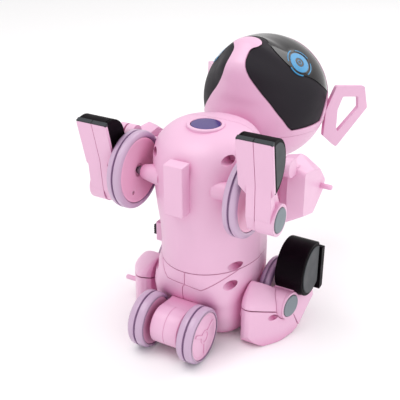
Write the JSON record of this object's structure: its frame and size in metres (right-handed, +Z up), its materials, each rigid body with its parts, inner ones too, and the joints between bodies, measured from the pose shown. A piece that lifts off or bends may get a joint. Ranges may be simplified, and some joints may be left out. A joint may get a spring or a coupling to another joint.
{
  "type": "robot dog toy",
  "caption": "Pink toy robot dog sitting up on its rump, with a black visor, hollow ears, jointed legs with rubber paws, and small wheels on its belly, rump and tail.",
  "frame": {"origin": "centre of the bounding box in plan, at floor height under the rump", "axes": "+Z up; -Y towards the belly, the side that faces the viewer as it sits up; X from side to side, with the power switch on the -X side"},
  "size_m": [0.176, 0.2266, 0.2176],
  "materials": {
    "pink_shell": "glossy baby pink moulded plastic",
    "pink_hub": "deeper pink moulded plastic",
    "clear_tyre": "translucent lavender soft plastic",
    "black_rubber": "black rubber",
    "black_visor": "polished black",
    "charcoal_visor": "matte charcoal",
    "eye_blue": "blue printed ring under gloss",
    "lens_violet": "dark violet infrared window",
    "grey_cap": "grey matte plastic",
    "steel": "plain steel",
    "circuit_green": "green circuit board",
    "dark_plastic": "dark grey plastic"
  },
  "bodies": {
    "torso": {"chest_front_shell": "pink_shell", "chest_back_shell": "pink_shell", "battery_door": "pink_shell", "sensor_lens": "lens_violet", "belly_cover": "pink_shell", "neck_post": "pink_shell", "rump_front_shell": "pink_shell", "rump_back_shell": "pink_shell", "tail_axle_housing": "pink_shell", "battery_pack": "dark_plastic", "circuit_board": "circuit_green", "speaker": "dark_plastic", "drive_motor": "steel", "leg_motor": "steel", "shoulder_housing_left": "pink_shell", "shoulder_housing_right": "pink_shell", "front_axle": "steel", "tail_axle": "steel", "hind_axle": "steel"},
    "head": {"head_rear_shell": "pink_shell", "face_frame": "pink_shell", "visor_brow": "black_visor", "visor_cheeks": "charcoal_visor", "eye_left": "eye_blue", "eye_right": "eye_blue", "ear_left": "pink_shell", "ear_right": "pink_shell"},
    "power_switch": {"power_switch": "dark_plastic"},
    "front_wheel_left": {"front_wheel_left_hub": "pink_hub", "front_wheel_left_tyre": "clear_tyre"},
    "tail_wheel_left": {"tail_wheel_left_hub": "pink_hub", "tail_wheel_left_tyre": "clear_tyre"},
    "hind_wheel_left": {"hind_wheel_left_hub": "pink_hub", "hind_wheel_left_tyre": "clear_tyre"},
    "upper_arm_left": {"upper_arm_left": "pink_shell"},
    "forearm_left": {"forearm_left": "pink_shell", "elbow_cap_left": "grey_cap", "front_paw_left": "black_rubber"},
    "thigh_left": {"thigh_upper_left": "pink_shell", "thigh_lower_left": "pink_shell"},
    "shank_left": {"shank_left": "pink_shell", "knee_cap_left": "grey_cap", "hind_paw_left": "black_rubber"},
    "front_wheel_right": {"front_wheel_right_hub": "pink_hub", "front_wheel_right_tyre": "clear_tyre"},
    "tail_wheel_right": {"tail_wheel_right_hub": "pink_hub", "tail_wheel_right_tyre": "clear_tyre"},
    "hind_wheel_right": {"hind_wheel_right_hub": "pink_hub", "hind_wheel_right_tyre": "clear_tyre"},
    "upper_arm_right": {"upper_arm_right": "pink_shell"},
    "forearm_right": {"forearm_right": "pink_shell", "elbow_cap_right": "grey_cap", "front_paw_right": "black_rubber"},
    "thigh_right": {"thigh_upper_right": "pink_shell", "thigh_lower_right": "pink_shell"}
  },
  "joints": [
    {"name": "head_turn", "type": "hinge", "parent": "torso", "child": "head", "pos_m": [0, 0.01635, 0.143], "axis": [0, 1, 0], "range_deg": [-30, 30]},
    {"name": "power_switch_slide", "type": "slide", "parent": "torso", "child": "power_switch", "axis": [0, 0, 1], "range_m": [-0.002, 0.002]},
    {"name": "front_wheel_left_spin", "type": "hinge", "parent": "torso", "child": "front_wheel_left", "pos_m": [0.0473, -0.06565, 0.1331], "axis": [1, 0, 0], "continuous": true},
    {"name": "tail_wheel_left_spin", "type": "hinge", "parent": "torso", "child": "tail_wheel_left", "pos_m": [0.0213, -0.09125, 0.022], "axis": [1, 0, 0], "continuous": true},
    {"name": "hind_wheel_left_spin", "type": "hinge", "parent": "torso", "child": "hind_wheel_left", "pos_m": [0.047, -0.00925, 0.0263], "axis": [1, 0, 0], "continuous": true},
    {"name": "shoulder_left", "type": "hinge", "parent": "torso", "child": "upper_arm_left", "pos_m": [0.0615, -0.04525, 0.152], "axis": [1, 0, 0], "range_deg": [-40, 35]},
    {"name": "elbow_left", "type": "hinge", "parent": "upper_arm_left", "child": "forearm_left", "pos_m": [0.0615, -0.08263, 0.13035], "axis": [1, 0, 0], "range_deg": [-35, 60]},
    {"name": "hip_left", "type": "hinge", "parent": "torso", "child": "thigh_left", "pos_m": [0.041, -0.04565, 0.023], "axis": [1, 0, 0], "range_deg": [-10, 10]},
    {"name": "knee_left", "type": "hinge", "parent": "thigh_left", "child": "shank_left", "pos_m": [0.062, -0.03335, 0.0304], "axis": [1, 0, 0], "range_deg": [0, 20]},
    {"name": "front_wheel_right_spin", "type": "hinge", "parent": "torso", "child": "front_wheel_right", "pos_m": [-0.0473, -0.06565, 0.1331], "axis": [1, 0, 0], "continuous": true},
    {"name": "tail_wheel_right_spin", "type": "hinge", "parent": "torso", "child": "tail_wheel_right", "pos_m": [-0.0213, -0.09125, 0.022], "axis": [1, 0, 0], "continuous": true},
    {"name": "hind_wheel_right_spin", "type": "hinge", "parent": "torso", "child": "hind_wheel_right", "pos_m": [-0.047, -0.00925, 0.0263], "axis": [1, 0, 0], "continuous": true},
    {"name": "shoulder_right", "type": "hinge", "parent": "torso", "child": "upper_arm_right", "pos_m": [-0.0615, -0.04525, 0.152], "axis": [1, 0, 0], "range_deg": [-65, 10]},
    {"name": "elbow_right", "type": "hinge", "parent": "upper_arm_right", "child": "forearm_right", "pos_m": [-0.0615, -0.06841, 0.11553], "axis": [1, 0, 0], "range_deg": [-15, 80]},
    {"name": "hip_right", "type": "hinge", "parent": "torso", "child": "thigh_right", "pos_m": [-0.041, -0.04565, 0.023], "axis": [1, 0, 0], "range_deg": [-10, 10]}
  ]
}
